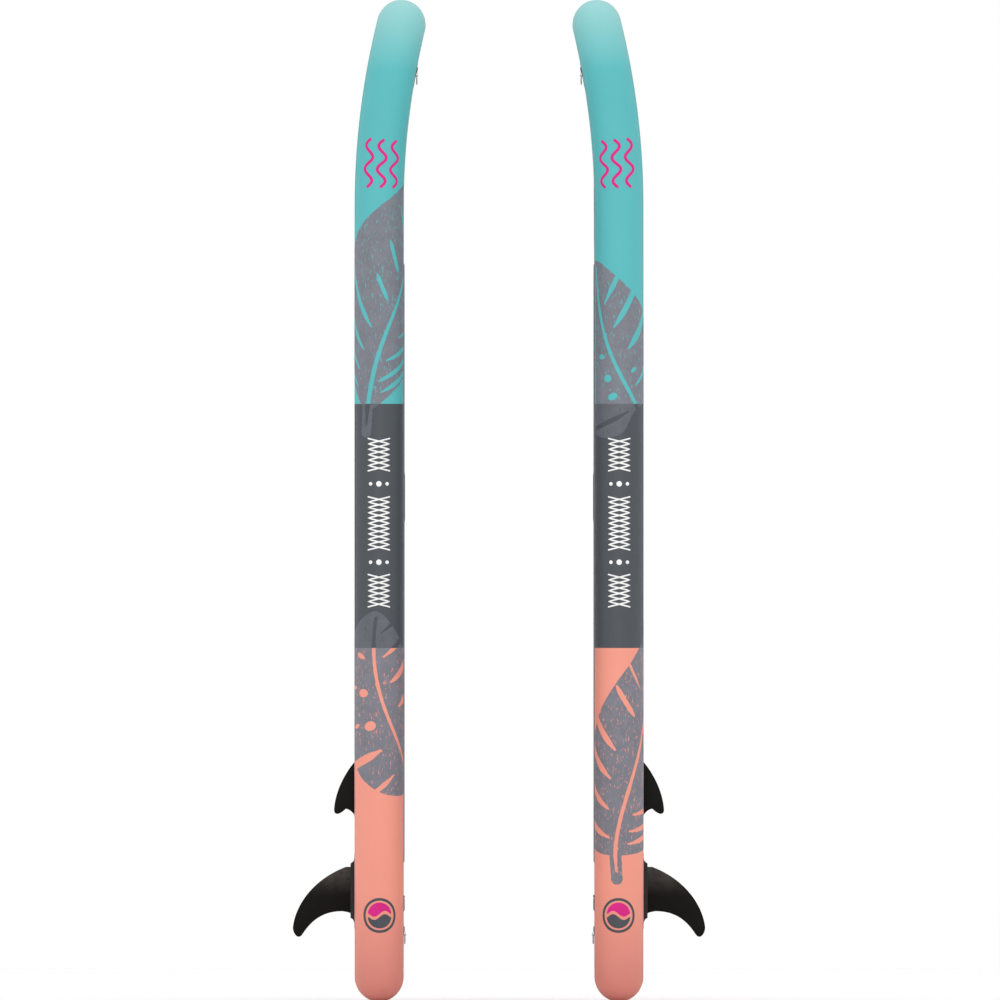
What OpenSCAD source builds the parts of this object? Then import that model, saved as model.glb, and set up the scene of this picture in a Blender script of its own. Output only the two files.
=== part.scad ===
// A pair of inflatable stand-up paddle boards, standing on their tails, deck facing deck.
// Millimetres. Z runs along the boards from tail to nose, Y across them, and the ground is z = 0.
// Every part is drawn on one board whose centre plane is x = 0 and whose deck faces +X. The pair()
// module then puts it on the left board, and turned half a turn on the right board.

/* [Board] */
// Length from the tail to the nose tip
board_length = 3100; // [2900:10:3300]
// Width across the rails at the widest place
board_width = 812; // [760:2:860]
// Thickness, which is also the diameter of the rounded rails
board_thickness = 150; // [120:5:152]
// Height above the tail of the widest place
widest_z = 1620; // [1500:10:1700]
// Width of the straight part of the squash tail
tail_width = 260; // [200:10:300]
// Thickness of the coated fabric of the skins and rails
fabric = 1.3; // [1:0.1:1.6]

/* [Nose rocker] */
// How far the nose is lifted towards the deck
nose_lift = 88; // [60:1:110]
// Length of the lifted stretch
rocker_length = 636; // [560:1:700]

/* [Pair] */
// Distance between the centre planes of the two boards
spacing = 742; // [600:1:900]

/* [Deck] */
// Thickness of the foam deck pad
pad_t = 3; // [2:0.5:6]
// Height of the pad's lower and upper edges above the tail
pad_from = 430; // [400:10:500]
pad_to = 2250; // [2100:10:2300]
// Gap between the pad's edge and the edge of the flat deck
pad_margin = 32; // [20:1:60]
// Height of the middle of the carry handle
handle_z = 1560; // [1450:10:1700]

/* [Fins] */
// Depth of the centre fin below the bottom skin
fin_depth = 193; // [160:1:230]
// Thickness of the centre fin's blade
fin_t = 7; // [5:0.5:8]
// Distance of each side fin from the centre line
side_fin_y = 195; // [160:5:200]

/* [Valve] */
// Radius of the socket that a pump's hose end is pushed into
socket_r = 10.2; // [9.5:0.1:11]

/* [Hidden] */
PARTS = [
  "deck_skin", "bottom_skin", "port_rail", "starboard_rail", "drop_stitch", "deck_seam_tape",
  "bottom_seam_tape", "deck_pad", "handle_patches", "carry_handle", "valve_body", "valve_nut",
  "valve_plunger", "valve_seal", "valve_spring", "valve_cap", "leash_patch", "leash_ring",
  "tow_patch", "tow_ring", "fin_box", "centre_fin", "fin_nut", "fin_screw", "side_fin_bases",
  "side_fins"
];
$fn = 48;

r = board_thickness / 2;          // radius of the rails
core_w = board_width / 2 - r;     // half-width of the flat deck at its widest
core_tail = tail_width / 2;       // half-width of the flat deck at the tail
core_low = r;                     // height of the flat deck's tail edge
core_high = board_length - r - 2; // height of the flat deck's nose edge
core_nose = 8;                    // half-width of the flat deck at the nose
tail_steps = 18;                  // outline points from the tail corner to the widest place
flat_steps = 10;                  // outline points from there to the start of the rocker
nose_steps = 15;                  // outline points from there to the nose
rail_steps = 10;                  // facets round a rail
tape_t = 0.6;                     // thickness of the seam tapes
tape_in = 26;                     // how far a tape reaches onto the flat deck or bottom
tape_turn = 14;                   // how many degrees a tape reaches round the rail

// ---- Outline of the flat deck and bottom, from the middle of the tail to the middle of the nose
function tail_point(a) = [
  core_tail + (core_w - core_tail) * pow(sin(a), 1.45),
  widest_z - (widest_z - core_low) * pow(cos(a), 0.95)
];
function nose_point(a) = [
  core_nose + (core_w - core_nose) * pow(cos(a), 1.25),
  widest_z + (core_high - widest_z) * sin(a)
];
rocker_from = board_length - rocker_length;
rocker_angle = asin((rocker_from - widest_z) / (core_high - widest_z));
outline = concat(
  [[0, core_low], [core_tail / 2, core_low]],
  [for (i = [0:tail_steps]) tail_point(90 * i / tail_steps)],
  [for (i = [1:flat_steps]) nose_point(rocker_angle * i / flat_steps)],
  [for (i = [1:nose_steps]) nose_point(rocker_angle + (90 - rocker_angle) * i / nose_steps)],
  [[0, core_high]]
);
last = len(outline) - 1;
rocker_at = 2 + tail_steps + flat_steps; // outline point where the rocker starts

// The neighbour of outline point i, mirrored past either end
function at(i) = i < 0 ? [-outline[-i][0], outline[-i][1]]
  : i > last ? [-outline[2 * last - i][0], outline[2 * last - i][1]] : outline[i];
function unit(v) = v / norm(v);
// Outward direction of the outline at point i
function outward(i) = let (d = unit(at(i + 1) - at(i - 1))) [d[1], -d[0]];

// ---- Nose rocker: a flat point (x, y, z) is carried onto the bent centre plane
function lift(z) = z > rocker_from ? nose_lift * pow((z - rocker_from) / rocker_length, 2) : 0;
function slope(z) = z > rocker_from
  ? 2 * nose_lift * (z - rocker_from) / pow(rocker_length, 2) : 0;
function bend(p) = let (n = unit([1, -slope(p[2])])) [
  lift(p[2]) + p[0] * n[0], p[1], p[2] + p[0] * n[1]
];
// Carries a flat fitting, drawn with its base at x = 0, onto the deck at height z
module on_deck(z) translate([lift(z), 0, z]) rotate([0, atan(slope(z)), 0])
  translate([r, 0, 0]) children();

// A point on the rail: outline point i, side +1 or -1 across the board, turned a degrees from
// the rail's edge towards the deck, at the given radius
function rail_point(i, side, a, radius) = bend([
  radius * sin(a),
  side * (outline[i][0] + radius * cos(a) * outward(i)[0]),
  outline[i][1] + radius * cos(a) * outward(i)[1]
]);

// Joins rings of points into one closed solid. Each ring's first half of points runs along one
// face and its second half runs back along the other.
module skin(rings, flip = false) {
  count = len(rings);
  size = len(rings[0]);
  half = size / 2;
  points = [for (ring = rings) for (p = ring) p];
  sides = [
    for (j = [0:count - 2]) for (k = [0:size - 1])
      let (k2 = (k + 1) % size, a = j * size + k, b = j * size + k2, c = b + size, d = a + size)
      for (f = [[a, b, c], [a, c, d]]) f
  ];
  ends = [
    for (k = [0:half - 2]) let (k2 = size - 1 - k, e = (count - 1) * size)
      for (f = [[k2, k2 - 1, k + 1], [k2, k + 1, k], [e + k, e + k + 1, e + k2 - 1],
        [e + k, e + k2 - 1, e + k2]]) f
  ];
  all = concat(sides, ends);
  polyhedron(points, flip ? [for (f = all) [f[2], f[1], f[0]]] : all);
}

// ---- Inflated hull
seam_gap = 0.05; // gap between the edge of a skin and the edge of a rail
cut = 0.001;     // share of an outline step that is left open between two panels
// The stretches of outline points that the bent end of the board is made in
nose_panels = [for (i = [rocker_at:3:last - 4]) [i, min(i + 3, last - 1)]];
// The rings of one panel, with its upper end drawn back by the cut
function panel(rings) = let (n = len(rings) - 1) concat(
  [for (k = [0:n - 1]) rings[k]],
  [[for (k = [0:len(rings[n]) - 1]) rings[n][k] + cut * (rings[n - 1][k] - rings[n][k])]]
);
// The deck's or bottom's skin: one flat sheet up to the rocker and bent panels beyond it
module flat_skin(face) {
  flat = [for (i = [2:rocker_at]) outline[i]];
  ring = concat(flat, [for (k = [len(flat) - 1:-1:0]) [-flat[k][0], flat[k][1]]]);
  translate([face > 0 ? r - fabric : -r, 0, 0]) sheet(fabric)
    polygon([for (p = ring) [p[0] - sign(p[0]) * seam_gap, min(p[1], rocker_from - seam_gap)]]);
  outer = face * r;
  inner = face * (r - fabric);
  for (part = nose_panels)
    skin(panel([
      for (i = [part[0]:part[1]]) let (y = outline[i][0] - seam_gap, z = outline[i][1]) [
        bend([outer, -y, z]), bend([outer, y, z]), bend([inner, y, z]), bend([inner, -y, z])
      ]
    ]), face > 0);
}
// The stretches of outline points that a rail is made in
rail_panels = concat([[0, 2], [2, 7], [7, 12], [12, 20], [20, 25], [25, rocker_at]],
  [for (part = nose_panels) part[1] == last - 1 ? [part[0], last] : part]);
module rail(side) {
  for (part = rail_panels)
    skin(panel([
      for (i = [part[0]:part[1]]) concat(
        [for (k = [0:rail_steps]) rail_point(i, side, -90 + 180 * k / rail_steps, r)],
        [for (k = [rail_steps:-1:0]) rail_point(i, side, -90 + 180 * k / rail_steps, r - fabric)]
      )
    ]), side < 0);
}
// One ring of a seam tape: along the flat face and round the start of the rail, and back. On the
// rocker the tape reaches in straight across the board, so that it lies on the skin's panels.
function tape_ring(i, side, face) = let (
    o = outward(i),
    reach = i < rocker_at ? tape_in * o : [tape_in / max(o[0], 0.1), 0],
    inset = [for (t = [0, tape_t]) bend([
      face * (r + t), i == 0 ? 0 : side * max(outline[i][0] - reach[0], 0.5),
      outline[i][1] - reach[1]
    ])]
  ) [
    inset[0], rail_point(i, side, face * 90, r), rail_point(i, side, face * (90 - tape_turn), r),
    rail_point(i, side, face * (90 - tape_turn), r + tape_t),
    rail_point(i, side, face * 90, r + tape_t), inset[1]
  ];
// A tape runs from the nose down one side, round the tail and up the other side
module seam_tape(face) {
  skin(concat(
    [for (i = [last - 2:-1:1]) tape_ring(i, -1, face)],
    [for (i = [0:last - 2]) tape_ring(i, 1, face)]
  ), face > 0);
}
stitch_pitch_z = 150; // spacing of the thread bundles along the board
stitch_pitch_y = 130; // and across it
module drop_stitch() {
  for (z = [core_low + 75:stitch_pitch_z:core_high - 60])
    for (k = [-2:2])
      if (abs(k) * stitch_pitch_y < width_at(z) - 12)
        translate([lift(z), k * stitch_pitch_y, z]) rotate([0, 90 + atan(slope(z)), 0])
          cylinder(h = 2 * (r - fabric) - (slope(z) > 0 ? 1.2 : 0), r = 1.5, center = true);
}
// Half-width of the flat deck at height z
function width_at(z) = lookup(z, [for (p = outline) [p[1], p[0]]]);

// ---- Deck fittings, drawn on the deck plane x = 0 of on_deck()
// Lays a flat drawing (first axis across the board, second along it) on the plane x = 0
module sheet(t) rotate([90, 0, 90]) linear_extrude(t) children();
module rounded(w, l, corner) {
  for (s = [-1, 1]) for (e = [-1, 1])
    translate([s * (w / 2 - corner), e * (l / 2 - corner)]) circle(corner);
  square([w - 2 * corner, l], center = true);
  square([w, l - 2 * corner], center = true);
}
handle_l = 270;      // length of the handle strap
handle_w = 38;       // width of the strap
strap_t = 1.6;       // thickness of the webbing
pad_window = [86, 330]; // opening in the pad round the handle
pad_steps = 24;
module deck_pad() {
  edge = [
    for (k = [0:pad_steps]) let (z = pad_from + (pad_to - pad_from) * k / pad_steps)
      [width_at(z) - pad_margin, z]
  ];
  half = concat(edge, [[edge[pad_steps][0] - 60, pad_to + 34]]);
  ring = concat(half, [for (k = [len(half) - 1:-1:0]) [-half[k][0], half[k][1]]]);
  translate([r, 0, 0]) sheet(pad_t) difference() {
    polygon(ring);
    translate([0, handle_z]) rounded(pad_window[0], pad_window[1], 20);
  }
}
module handle_patches() {
  for (s = [-1, 1]) translate([r, 0, handle_z + s * (handle_l / 2 - 22)])
    sheet(1) rounded(66, 62, 12);
}
strap_rise = 2.2; // how far the slack strap stands off the deck between its sewn ends
module carry_handle() {
  translate([r + 1, 0, handle_z]) for (s = [-1, 1]) {
    translate([0, -handle_w / 2, s > 0 ? handle_l / 2 - 48 : -handle_l / 2])
      cube([strap_t, handle_w, 48]);
    translate([0, handle_w / 2, s * (handle_l / 2 - 48)]) rotate([90, 0, 0])
      linear_extrude(handle_w) polygon([[0, 0], [strap_rise, -s * 22],
        [strap_rise + strap_t, -s * 22], [strap_t, 0]]);
  }
  translate([r + 1 + strap_rise, -handle_w / 2, handle_z - handle_l / 2 + 70])
    cube([strap_t, handle_w, handle_l - 140]);
}

ring_wire = 2.2;  // radius of the ring's wire
ring_w = 38;      // width of the ring between the middles of its sides
ring_l = 26;      // length from its straight bar to the middle of its bow
patch_r = 42;     // radius of a ring's patch
loop_t = 1.2;     // thickness of the webbing loop that holds the ring
loop_w = 22;      // width of that loop
bar_h = 1 + loop_t + ring_wire + 0.3; // height of the ring's bar above the deck
// The patch, with the webbing loop that goes round the ring's straight bar
module ring_patch() {
  sheet(1) circle(patch_r);
  bore = ring_wire + 0.3;
  translate([bar_h, loop_w / 2, 0]) rotate([90, 0, 0]) linear_extrude(loop_w) difference() {
    union() {
      circle(bore + loop_t);
      translate([1 - bar_h, 0]) square([bar_h - 1 + bore + loop_t, 26]);
    }
    circle(bore);
    translate([bore * 0.4, 4]) square([bore + loop_t, 30]);
  }
}
// A flat ring hanging from its straight bar, which lies along Y at the origin
module d_ring() {
  half = ring_w / 2;
  rotate([90, 0, 0]) cylinder(h = ring_w, r = ring_wire, center = true);
  for (s = [-1, 1]) {
    translate([0, s * half, -ring_l + half]) cylinder(h = ring_l - half, r = ring_wire);
    translate([0, s * half, 0]) sphere(ring_wire);
  }
  translate([0, 0, -ring_l + half]) rotate([0, 90, 0]) rotate([0, 0, -90])
    rotate_extrude(angle = 180) translate([half, 0]) circle(ring_wire);
}
leash_z = 205; // height of the leash ring's bar
tow_z = 2880;  // height of the tow ring's bar
module leash_patch() on_deck(leash_z) translate([0.05, 0, 0]) ring_patch();
module leash_ring() translate([r + 0.05 + bar_h, 0, leash_z]) d_ring();
tow_gap = 0.6; // height of the tow patch above the bent deck, which curves up to its edges
module tow_patch() on_deck(tow_z) translate([tow_gap, 0, 0]) ring_patch();
module tow_ring() {
  n = unit([1, -slope(tow_z)]);
  h = r + tow_gap + bar_h;
  translate([lift(tow_z) + h * n[0], 0, tow_z + h * n[1]]) d_ring();
}

// ---- Inflation valve, in the deck near the tail
valve_at = [r, -96, 300]; // middle of the valve on the deck plane
flange_r = 23;            // radius of the flange on the deck
flange_t = 1.5;
socket_depth = 10.5;      // depth of the socket below the deck plane
chamber_r = 9;            // radius of the chamber under the socket
barrel_r = 14.5;          // outside of the barrel
barrel_depth = 27;        // depth of the barrel below the deck plane
plate_t = 2.5;            // thickness of the plate that guides the stem
stem_r = 2.4;
stem_gap = 0.08;          // running clearance of the stem in its guide
button_depth = 13;        // depth of the plunger's button below the deck plane
button_t = 2;
seal_t = 2;
seal_gap = 0.3;
hinge_z = 26;             // distance of the cap's hinge from the middle of the valve
hinge_h = 2.4;            // height of its pin above the deck plane
hinge_r = 1;
knuckle_r = 2.1;
// Moves to the valve and turns +Z to point out of the deck
module at_valve() translate(valve_at) rotate([0, 90, 0]) children();
module valve_body() at_valve() {
  difference() {
    union() {
      cylinder(h = flange_t, r = flange_r);
      translate([0, 0, -barrel_depth]) cylinder(h = barrel_depth + 1, r = barrel_r);
    }
    translate([0, 0, -socket_depth]) cylinder(h = 60, r = socket_r);
    translate([0, 0, plate_t - barrel_depth]) cylinder(h = 30, r = chamber_r);
    translate([0, 0, -60]) cylinder(h = 60, r = stem_r + stem_gap);
    for (a = [45:90:315]) rotate([0, 0, a]) translate([6.4, 0, -60]) cylinder(h = 60, r = 2);
  }
  for (s = [-1, 1]) translate([-hinge_z - 2, s * 7 - 1.5, 0]) cube([7, 3, hinge_h + 1.6]);
  translate([-hinge_z, 0, hinge_h]) rotate([90, 0, 0]) cylinder(h = 15, r = hinge_r, center = true);
}
module valve_nut() at_valve() translate([0, 0, -fabric - 5]) difference() {
  cylinder(h = 5, r = flange_r - 1, $fn = 12);
  translate([0, 0, -1]) cylinder(h = 7, r = barrel_r + 0.05);
}
module valve_plunger() at_valve() {
  translate([0, 0, -button_depth - button_t]) cylinder(h = button_t, r = 6);
  translate([0, 0, -barrel_depth - seal_gap - seal_t - 2])
    cylinder(h = barrel_depth + seal_gap + seal_t + 2 - button_depth - 1, r = stem_r);
  translate([0, 0, -barrel_depth - seal_gap - seal_t - 2]) cylinder(h = 2, r = 10);
}
module valve_seal() at_valve() translate([0, 0, -barrel_depth - seal_gap - seal_t]) difference() {
  cylinder(h = seal_t, r = 11);
  translate([0, 0, -1]) cylinder(h = seal_t + 2, r = stem_r);
}
spring_r = 4.3;   // radius of the spring's coils
spring_wire = 0.45;
spring_turns = 5;
spring_low = plate_t - barrel_depth + spring_wire + 0.1;
spring_high = -button_depth - button_t - spring_wire - 0.1;
spring_rings = 70;
spring_sides = 6;
module valve_spring() at_valve() {
  rings = [
    for (j = [0:spring_rings]) let (t = j / spring_rings, a = 360 * spring_turns * t,
      z = spring_low + (spring_high - spring_low) * t) [
      for (k = [0:spring_sides - 1]) let (b = 360 * k / spring_sides,
        radius = spring_r + spring_wire * cos(b))
        [radius * cos(a), radius * sin(a), z + spring_wire * sin(b)]
    ]
  ];
  skin(rings, true);
}
cap_r = 20;
module valve_cap() at_valve() difference() {
  union() {
    translate([0, 0, flange_t + 0.3]) {
      cylinder(h = 1.4, r = cap_r);
      cylinder(h = 2.2, r = cap_r - 3);
      translate([-hinge_z, -4.5, 0]) cube([12, 9, 1.4]);
    }
    translate([-hinge_z, 0, hinge_h]) rotate([90, 0, 0])
      cylinder(h = 9, r = knuckle_r, center = true);
  }
  translate([-hinge_z, 0, hinge_h]) rotate([90, 0, 0])
    cylinder(h = 12, r = hinge_r + 0.08, center = true);
}

// ---- Fins, on the bottom plane x = -r
// Moves to the bottom skin, with the first drawing axis pointing down from it and the second
// along the board, and gives the drawing thickness t across the board
module on_bottom(t, y = 0) translate([-r, y, 0]) mirror([1, 0, 0]) rotate([90, 0, 0])
  linear_extrude(t, center = true) children();
function bezier(p, t) = pow(1 - t, 3) * p[0] + 3 * t * pow(1 - t, 2) * p[1]
  + 3 * t * t * (1 - t) * p[2] + pow(t, 3) * p[3];
function curve(p, n) = [for (k = [0:n]) bezier(p, k / n)];
box_low = 237;       // height of the fin box's tail end
box_high = 447;      // height of its nose end
box_h = 14;          // how far the box stands off the bottom skin
box_w = 26;
base_t = 2;
flare = 20;          // length of the hollow curve at each end of the box
slot_w = 9.6;        // width of the slot that the fin's foot runs in
slot_low = 246;
slot_high = 438;
groove_w = 14;       // width of the nut's groove under the slot
groove_h = 3;
foot_gap = 0.2;      // clearance of the foot on each side
foot_low = 272;
foot_high = 431;
screw_z = 424;       // height of the fin screw
screw_r = 2.5;
module fin_box() {
  translate([-r - base_t, 0, (box_low + box_high) / 2]) sheet(base_t)
    rounded(76, box_high - box_low + 24, 14);
  difference() {
    on_bottom(box_w) polygon(concat(
      [[base_t / 2, box_low]],
      [for (k = [0:6]) [box_h - (box_h - base_t) * cos(15 * k),
        box_low + flare * sin(15 * k)]],
      [for (k = [6:-1:0]) [box_h - (box_h - base_t) * cos(15 * k),
        box_high - flare * sin(15 * k)]],
      [[base_t / 2, box_high]]
    ));
    translate([-r - 40, -slot_w / 2, slot_low]) cube([40 - base_t, slot_w, slot_high - slot_low]);
    translate([-r - base_t - groove_h, -groove_w / 2, slot_low])
      cube([groove_h, groove_w, slot_high - slot_low]);
  }
}
foot_from = base_t + groove_h + 0.4; // height of the foot's underside above the skin
tab_top = 9;                         // height of the screw tab's top above the skin
module centre_fin() {
  deep = fin_depth / 193;
  difference() {
    union() {
      on_bottom(fin_t) polygon(concat(
        [[box_h + 0.3, 416]],
        curve([[28, 416], [124, 380], [183 * deep, 304], [192.5 * deep, 230]], 12),
        curve([[192.5 * deep, 228], [193 * deep, 211], [178 * deep, 188], [164 * deep, 205]], 6),
        curve([[163.5 * deep, 206], [134, 251], [100, 278], [39, 278.5]], 10),
        [[20, 275], [box_h + 0.3, 272]]
      ));
      on_bottom(slot_w - 2 * foot_gap) polygon([
        [foot_from, foot_low], [box_h + 0.4, foot_low], [box_h + 0.4, 416],
        [tab_top, 416], [tab_top, foot_high], [foot_from, foot_high]
      ]);
    }
    translate([-r, 0, screw_z]) rotate([0, 90, 0]) cylinder(h = 60, r = screw_r + 0.3, center = true);
  }
}
module fin_nut() difference() {
  translate([-r - base_t - groove_h + 0.2, -6.7, screw_z - 6]) cube([groove_h - 0.4, 13.4, 12]);
  translate([-r, 0, screw_z]) rotate([0, 90, 0]) cylinder(h = 60, r = screw_r + 0.06, center = true);
}
module fin_screw() translate([-r, 0, screw_z]) rotate([0, -90, 0]) {
  translate([0, 0, base_t + 0.3]) cylinder(h = tab_top - base_t, r = screw_r);
  difference() {
    translate([0, 0, tab_top + 0.1]) cylinder(h = 3, r = 4.6);
    translate([-5, -0.6, tab_top + 2]) cube([10, 1.2, 3]);
  }
}
side_low = 577;
side_high = 746;
module side_fin_bases() {
  for (s = [-1, 1]) translate([-r - 1.2, s * side_fin_y, (side_low + side_high) / 2])
    sheet(1.2) rounded(64, side_high - side_low + 40, 26);
}
module side_fins() {
  for (s = [-1, 1]) on_bottom(5, s * side_fin_y) polygon(concat(
    curve([[1.2, side_high - 5], [34, 703], [61, 648], [64.3, 594]], 10),
    curve([[64.3, 592], [63, 578], [50, 576], [29, 596]], 5),
    curve([[28, 597], [18, 596], [8, 588], [1.2, side_low + 1]], 5)
  ));
}

// ---- The pair
// Draws a part on the left board, and on the right board turned half a turn about Z
module pair(part) {
  for (side = ["left", "right"])
    translate([side == "left" ? -spacing / 2 : spacing / 2, 0, 0])
        rotate([0, 0, side == "left" ? 0 : 180]) children();
}
pair("deck_skin") color("#60c0c4") difference() {
  flat_skin(1);
  at_valve() cylinder(h = 20, r = barrel_r + 0.05, center = true);
}
pair("bottom_skin") color("#60c0c4") flat_skin(-1);
pair("port_rail") color("#60c0c4") rail(-1);
pair("starboard_rail") color("#f49d89") rail(1);
pair("drop_stitch") color("white") drop_stitch();
pair("deck_seam_tape") color("#575b61") seam_tape(1);
pair("bottom_seam_tape") color("#575b61") seam_tape(-1);
pair("deck_pad") color("#82838a") deck_pad();
pair("handle_patches") color("#3c3f44") handle_patches();
pair("carry_handle") color("#2a2a2c") carry_handle();
pair("valve_body") color("#303236") valve_body();
pair("valve_nut") color("#303236") valve_nut();
pair("valve_plunger") color("#d8d8d4") valve_plunger();
pair("valve_seal") color("#202020") valve_seal();
pair("valve_spring") color("silver") valve_spring();
pair("valve_cap") color("#3c3f44") valve_cap();
pair("leash_patch") color("#3c3f44") leash_patch();
pair("leash_ring") color("silver") leash_ring();
pair("tow_patch") color("#3c3f44") tow_patch();
pair("tow_ring") color("silver") tow_ring();
pair("fin_box") color("#2a2a2c") fin_box();
pair("centre_fin") color("#1a1a18") centre_fin();
pair("fin_nut") color("silver") fin_nut();
pair("fin_screw") color("silver") fin_screw();
pair("side_fin_bases") color("#2a2a2c") side_fin_bases();
pair("side_fins") color("#1a1a18") side_fins();
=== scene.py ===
import math

import bmesh
import bpy
import numpy as np
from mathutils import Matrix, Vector
from mathutils.geometry import delaunay_2d_cdt


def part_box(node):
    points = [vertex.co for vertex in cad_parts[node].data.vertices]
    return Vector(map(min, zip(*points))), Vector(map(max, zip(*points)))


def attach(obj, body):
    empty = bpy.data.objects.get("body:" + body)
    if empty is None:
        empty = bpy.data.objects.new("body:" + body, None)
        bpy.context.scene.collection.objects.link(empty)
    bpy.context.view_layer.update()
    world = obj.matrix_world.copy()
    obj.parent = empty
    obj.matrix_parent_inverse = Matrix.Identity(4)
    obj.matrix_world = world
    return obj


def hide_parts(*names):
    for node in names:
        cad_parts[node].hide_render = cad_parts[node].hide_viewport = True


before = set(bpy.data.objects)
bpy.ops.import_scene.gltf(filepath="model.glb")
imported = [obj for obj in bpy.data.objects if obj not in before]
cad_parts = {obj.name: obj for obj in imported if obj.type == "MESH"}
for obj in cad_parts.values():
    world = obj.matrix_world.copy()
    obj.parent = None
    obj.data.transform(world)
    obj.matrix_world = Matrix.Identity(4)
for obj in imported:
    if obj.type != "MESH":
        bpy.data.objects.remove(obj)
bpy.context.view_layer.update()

# ---- Sizes. One board is drawn in millimetres, with X to its deck, Y across it and Z to its nose.
MM = 0.001
rail_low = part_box("left_port_rail")[0] / MM
pad_low, pad_high = (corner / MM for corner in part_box("left_deck_pad"))
R = (pad_low.x - rail_low.x) / 2          # radius of the rails: half of the board's thickness
CENTRE = -(rail_low.x + R)                # distance of each board's centre plane from X = 0
LENGTH = 3100
CORE_WIDE = -rail_low.y - R               # half-width of the flat deck at its widest
CORE_TAIL = 130                           # and at the tail
CORE_NOSE = 8                             # and at the nose
CORE_LOW = R                              # height of the flat deck's tail edge
CORE_HIGH = LENGTH - R - 2                # height of its nose edge
WIDEST = 1620                             # height of the widest place
ROCKER = 636                              # length of the bent stretch at the nose
LIFT = 88                                 # how far the nose is lifted
FABRIC = 1.3
TAPE = 0.6                                # thickness of the seam tapes
TAPE_IN = 26                              # reach of a tape onto the flat face
TAPE_TURN = math.radians(14)              # and round the rail
QUARTER = R * math.pi / 2                 # from the middle of the rail to the deck, round the rail
TEAL_FROM = 1849                          # the printed colour blocks meet at these heights
CORAL_TO = 1095
VALVE = (-96, 300)                        # place of the valve on the deck, across and up
VALVE_HOLE = 14.55                        # radius of its hole
BOARDS = ("left", "right")
rng = np.random.default_rng(7)


# ---- The board's surface
def outline_points():
    """The edge of the flat deck from the middle of the tail to the middle of the nose, as (y, z)."""
    tail = np.radians(90 * np.linspace(0, 1, 96) ** 1.7)
    nose = np.radians(90 * (1 - np.linspace(1, 0, 121)[1:] ** 1.5))
    wide = CORE_WIDE - CORE_TAIL
    point = CORE_WIDE - CORE_NOSE
    straight = np.linspace(0, CORE_TAIL, 9)[:-1]
    y = np.concatenate([straight, CORE_TAIL + wide * np.sin(tail) ** 1.45,
                        CORE_NOSE + point * np.maximum(np.cos(nose), 0) ** 1.25, [CORE_NOSE / 2, 0]])
    z = np.concatenate([np.full(len(straight), CORE_LOW),
                        WIDEST - (WIDEST - CORE_LOW) * np.maximum(np.cos(tail), 0) ** 0.95,
                        WIDEST + (CORE_HIGH - WIDEST) * np.sin(nose), [CORE_HIGH, CORE_HIGH]])
    return np.stack([y, z], 1)


EDGE = outline_points()
mirrored = np.vstack([EDGE[1] * (-1, 1), EDGE, EDGE[-2] * (-1, 1)])
along = mirrored[2:] - mirrored[:-2]
along /= np.linalg.norm(along, axis=1)[:, None]
OUT = np.stack([along[:, 1], -along[:, 0]], 1)      # outward direction at each point of the edge
widest = int(EDGE[:, 0].argmax())


def tape_edge():
    """The inner edge of a seam tape on the flat face, with its folds at the corners taken out."""
    y, z = (EDGE - TAPE_IN * OUT).T
    y = np.concatenate([np.minimum.accumulate(y[widest::-1])[::-1],
                        np.minimum.accumulate(y[widest + 1:])])
    return np.stack([np.maximum(y, 0), np.clip(z, CORE_LOW + TAPE_IN, CORE_HIGH - TAPE_IN)], 1)


def bend(points):
    """Carries points of a straight board onto the bent nose."""
    x, y, z = np.moveaxis(np.asarray(points, float), -1, 0)
    over = np.maximum(z - (LENGTH - ROCKER), 0)
    slope = 2 * LIFT * over / ROCKER ** 2
    size = np.hypot(1, slope)
    return np.stack([LIFT * (over / ROCKER) ** 2 + x / size, y, z - x * slope / size], -1)


def rail_ring(i, side, angles, radius):
    """Points round the rail at edge point i, turned by angles from its middle towards the deck."""
    out = radius * np.cos(angles)
    return bend(np.stack([radius * np.sin(angles), side * (EDGE[i, 0] + out * OUT[i, 0]),
                          EDGE[i, 1] + out * OUT[i, 1]], -1))


ENDS = 30                                 # points of EDGE in the tight curves of tail and nose


def on_side(side):
    """Maps (distance round the rail from its middle towards the deck, height) onto one rail. A
    distance past QUARTER goes on over the deck, and one past -QUARTER over the bottom."""
    def mapper(points, height):
        height = np.broadcast_to(height, len(points))
        turn = np.clip(points[:, 0] / R, -math.pi / 2, math.pi / 2)
        out = (R + height) * np.cos(turn) - np.maximum(np.abs(points[:, 0]) - QUARTER, 0)
        heights = EDGE[:, 1] + out[:, None] * OUT[:, 1]
        y = EDGE[:, 0] + out[:, None] * OUT[:, 0]
        straight = slice(ENDS, -ENDS)
        y = [np.interp(z, row[straight], at[straight]) for z, row, at in zip(points[:, 1], heights, y)]
        return bend(np.stack([(R + height) * np.sin(turn), side * np.array(y), points[:, 1]], 1))
    return mapper


def on_deck(points, height):
    """Maps (y, z) onto the deck."""
    return bend(np.stack([np.broadcast_to(R + height, len(points)), points[:, 0], points[:, 1]], 1))


def on_bottom(points, height):
    """Maps (y, z) onto the bottom."""
    return bend(np.stack([np.broadcast_to(-R - height, len(points)), points[:, 0], points[:, 1]], 1))


def width_at(z):
    """Half-width of the flat deck at a height."""
    return np.interp(z, EDGE[8:, 1], EDGE[8:, 0])


# ---- Flat drawings, in two dimensions
def bezier(points, t):
    """Points of a Bezier curve at the shares t of its length."""
    level = [np.asarray(p, float)[None] for p in points]
    t = np.atleast_1d(t)[:, None]
    while len(level) > 1:
        level = [a * (1 - t) + b * t for a, b in zip(level, level[1:])]
    return level[0]


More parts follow.
